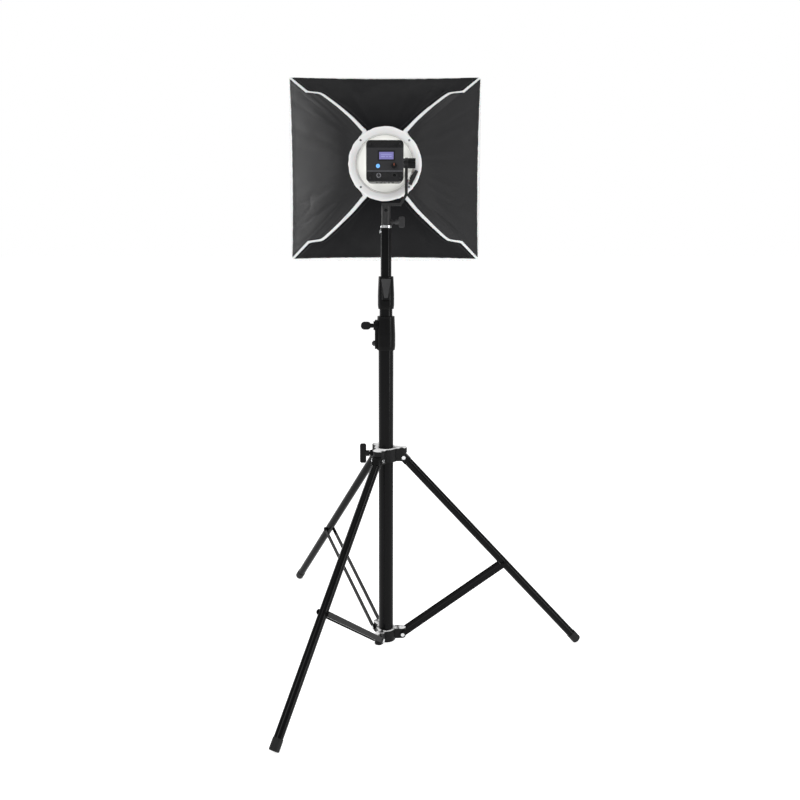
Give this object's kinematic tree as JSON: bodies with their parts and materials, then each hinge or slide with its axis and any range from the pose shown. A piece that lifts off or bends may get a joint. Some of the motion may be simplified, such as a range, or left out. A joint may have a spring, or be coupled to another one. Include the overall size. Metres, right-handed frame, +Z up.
{
  "type": "studio softbox",
  "caption": "Square studio softbox with a black skirt and white front on a compact lamp, one-armed tilting yoke and three-section folding light stand.",
  "frame": {"origin": "point on the floor under the middle of the stand column, where the feet stand", "axes": "+Z up along the column, +Y the way the light shines, +X to the right seen from behind the lamp"},
  "size_m": [0.7437, 0.8348, 1.396],
  "materials": {
    "black_tube": "satin black powder coat",
    "black_casting": "moulded black, slightly glossy",
    "black_knob": "moulded black, matte",
    "bright_steel": "bright zinc plate",
    "dark_bolt": "black oxide",
    "nylon": "natural nylon",
    "yoke_paint": "fine textured dark grey paint",
    "lamp_cover": "fine textured black moulding",
    "lamp_shell": "satin black paint",
    "bare_aluminium": "satin anodised",
    "emitter": "phosphor disc on a white board",
    "screen": "lit display under a gloss window",
    "blue_key": "lit translucent cap",
    "cream_ring": "satin cream moulding",
    "white_fabric": "soft white diffusion nylon",
    "black_fabric": "coated black nylon",
    "rib_rod": "black glass-fibre rod"
  },
  "bodies": {
    "column": {"lower_tube": "black_tube", "lower_clamp": "black_casting", "lower_clamp_bolt": "dark_bolt", "lower_hub": "black_casting", "lower_hub_pins": "bright_steel"},
    "collar": {"leg_collar": "black_casting", "leg_collar_plate": "bright_steel", "leg_collar_pins": "bright_steel"},
    "middle_section": {"middle_tube": "black_tube", "middle_tube_bush": "nylon", "middle_clamp": "black_casting"},
    "upper_section": {"upper_tube": "black_tube", "upper_tube_bush": "nylon", "spigot": "bright_steel", "spigot_screw": "bright_steel"},
    "yoke": {"stand_receiver": "yoke_paint", "yoke_arm": "yoke_paint"},
    "lamp": {"lamp_rear_cover": "lamp_cover", "lamp_screws": "bright_steel", "display_window": "screen", "power_inlet": "lamp_cover", "lamp_housing": "lamp_shell", "tilt_boss": "dark_bolt", "heat_sink": "bare_aluminium", "led_module": "emitter", "fan_frame": "lamp_cover", "mount_flange": "bare_aluminium"},
    "fan": {"fan_rotor": "lamp_cover"},
    "softbox": {"speed_ring": "cream_ring", "ring_sleeve": "white_fabric", "skirt_panel_top": "black_fabric", "skirt_panel_right": "black_fabric", "skirt_panel_bottom": "black_fabric", "skirt_panel_left": "black_fabric", "front_diffuser": "white_fabric"},
    "latch": {"release_latch": "black_knob"},
    "collar_knob": {"leg_collar_knob": "black_knob"},
    "lower_knob": {"lower_clamp_knob": "black_knob"},
    "middle_knob": {"middle_clamp_knob": "black_knob"},
    "receiver_screw": {"receiver_knob": "black_knob"},
    "tilt_lock": {"tilt_knob": "black_knob"},
    "mode_key": {"mode_button": "blue_key"},
    "power_key": {"power_button": "lamp_cover"},
    "dial": {"brightness_dial": "black_knob"},
    "leg_right": {"leg_top_right": "black_casting", "leg_tube_right": "black_tube", "leg_foot_right": "black_casting"},
    "brace_right": {"brace_bars_right": "black_tube"},
    "leg_back": {"leg_top_back": "black_casting", "leg_tube_back": "black_tube", "leg_foot_back": "black_casting"},
    "brace_back": {"brace_bars_back": "black_tube"},
    "leg_front": {"leg_top_front": "black_casting", "leg_tube_front": "black_tube", "leg_foot_front": "black_casting"},
    "brace_front": {"brace_bars_front": "black_tube"},
    "rib_upper_right": {"rib_upper_right": "rib_rod"},
    "rib_upper_left": {"rib_upper_left": "rib_rod"},
    "rib_lower_left": {"rib_lower_left": "rib_rod"},
    "rib_lower_right": {"rib_lower_right": "rib_rod"}
  },
  "joints": [
    {"name": "collar_slide", "type": "slide", "parent": "column", "child": "collar", "axis": [0, 0, 1], "range_m": [0, 0.222]},
    {"name": "leg_hinge_right", "type": "hinge", "parent": "collar", "child": "leg_right", "pos_m": [0.04096, 0.00179, 0.479], "axis": [-0.0436, 0.999, 0], "range_deg": [0, 39.09]},
    {"name": "brace_hinge_right", "type": "hinge", "parent": "column", "child": "brace_right", "pos_m": [0.03996, 0.00174, 0.0355], "axis": [0.0436, -0.999, 0], "range_deg": [0, 50.51]},
    {"name": "leg_hinge_back", "type": "hinge", "parent": "collar", "child": "leg_back", "pos_m": [-0.02203, 0.03458, 0.479], "axis": [-0.8434, -0.5373, 0], "range_deg": [0, 39.09]},
    {"name": "brace_hinge_back", "type": "hinge", "parent": "column", "child": "brace_back", "pos_m": [-0.02149, 0.03374, 0.0355], "axis": [0.8434, 0.5373, 0], "range_deg": [0, 50.51]},
    {"name": "leg_hinge_front", "type": "hinge", "parent": "collar", "child": "leg_front", "pos_m": [-0.01893, -0.03637, 0.479], "axis": [0.887, -0.4617, 0], "range_deg": [0, 39.09]},
    {"name": "brace_hinge_front", "type": "hinge", "parent": "column", "child": "brace_front", "pos_m": [-0.01847, -0.03548, 0.0355], "axis": [-0.887, 0.4617, 0], "range_deg": [0, 50.51]},
    {"name": "middle_slide", "type": "slide", "parent": "column", "child": "middle_section", "axis": [0, 0, 1], "range_m": [-0.017, 0.5]},
    {"name": "upper_slide", "type": "slide", "parent": "middle_section", "child": "upper_section", "axis": [0, 0, 1], "range_m": [-0.095, 0.5]},
    {"name": "yoke_pan", "type": "hinge", "parent": "upper_section", "child": "yoke", "pos_m": [0, 0, 1.035], "axis": [0, 0, 1], "continuous": true},
    {"name": "lamp_tilt", "type": "hinge", "parent": "yoke", "child": "lamp", "pos_m": [0.046, 0, 1.161], "axis": [1, 0, 0], "range_deg": [-20, 90]},
    {"name": "fan_spin", "type": "hinge", "parent": "lamp", "child": "fan", "pos_m": [-0.0025, -0.036, 1.161], "axis": [0, 1, 0], "continuous": true},
    {"name": "mount_twist", "type": "hinge", "parent": "lamp", "child": "softbox", "pos_m": [-0.0025, 0.05, 1.164], "axis": [0, 1, 0], "range_deg": [0, 36]},
    {"name": "latch_pull", "type": "slide", "parent": "softbox", "child": "latch", "axis": [0.8988, 0, -0.4384], "range_m": [0, 0.003], "stiffness_N_per_m": 500, "springref_m": -0.002},
    {"name": "rib_fold_upper_right", "type": "hinge", "parent": "softbox", "child": "rib_upper_right", "pos_m": [0.052, 0.066, 1.21552], "axis": [-0.687, 0, 0.7267], "range_deg": [0, 54]},
    {"name": "rib_fold_upper_left", "type": "hinge", "parent": "softbox", "child": "rib_upper_left", "pos_m": [-0.057, 0.066, 1.21552], "axis": [-0.687, 0, -0.7267], "range_deg": [0, 54]},
    {"name": "rib_fold_lower_left", "type": "hinge", "parent": "softbox", "child": "rib_lower_left", "pos_m": [-0.057, 0.066, 1.11248], "axis": [0.687, 0, -0.7267], "range_deg": [0, 54]},
    {"name": "rib_fold_lower_right", "type": "hinge", "parent": "softbox", "child": "rib_lower_right", "pos_m": [0.052, 0.066, 1.11248], "axis": [0.687, 0, 0.7267], "range_deg": [0, 54]},
    {"name": "collar_knob_turn", "type": "hinge", "parent": "collar", "child": "collar_knob", "pos_m": [-0.04, 0, 0.487], "axis": [1, 0, 0], "continuous": true},
    {"name": "lower_knob_turn", "type": "hinge", "parent": "column", "child": "lower_knob", "pos_m": [-0.03, 0, 0.7915], "axis": [1, 0, 0], "continuous": true},
    {"name": "middle_knob_turn", "type": "hinge", "parent": "middle_section", "child": "middle_knob", "pos_m": [0, -0.03, 0.881], "axis": [0, 1, 0], "continuous": true},
    {"name": "receiver_knob_turn", "type": "hinge", "parent": "yoke", "child": "receiver_screw", "pos_m": [0.02, 0, 1.0295], "axis": [1, 0, 0], "continuous": true},
    {"name": "tilt_knob_turn", "type": "hinge", "parent": "lamp", "child": "tilt_lock", "pos_m": [0.06, 0, 1.161], "axis": [1, 0, 0], "continuous": true},
    {"name": "mode_button_press", "type": "slide", "parent": "lamp", "child": "mode_key", "axis": [0, 1, 0], "range_m": [0, 0.0012], "stiffness_N_per_m": 400},
    {"name": "power_button_press", "type": "slide", "parent": "lamp", "child": "power_key", "axis": [0, 1, 0], "range_m": [0, 0.001], "stiffness_N_per_m": 400},
    {"name": "dial_turn", "type": "hinge", "parent": "lamp", "child": "dial", "pos_m": [0.0175, -0.065, 1.1503], "axis": [0, 1, 0], "continuous": true}
  ],
  "couplings": [
    {"joint": "leg_hinge_right", "follows": "collar_slide", "rad_per_m": 3.0723},
    {"joint": "brace_hinge_right", "follows": "collar_slide", "rad_per_m": 3.9702},
    {"joint": "leg_hinge_back", "follows": "collar_slide", "rad_per_m": 3.0723},
    {"joint": "brace_hinge_back", "follows": "collar_slide", "rad_per_m": 3.9702},
    {"joint": "leg_hinge_front", "follows": "collar_slide", "rad_per_m": 3.0723},
    {"joint": "brace_hinge_front", "follows": "collar_slide", "rad_per_m": 3.9702},
    {"joint": "rib_fold_upper_left", "follows": "rib_fold_upper_right", "ratio": 1},
    {"joint": "rib_fold_lower_left", "follows": "rib_fold_upper_right", "ratio": 1},
    {"joint": "rib_fold_lower_right", "follows": "rib_fold_upper_right", "ratio": 1}
  ]
}
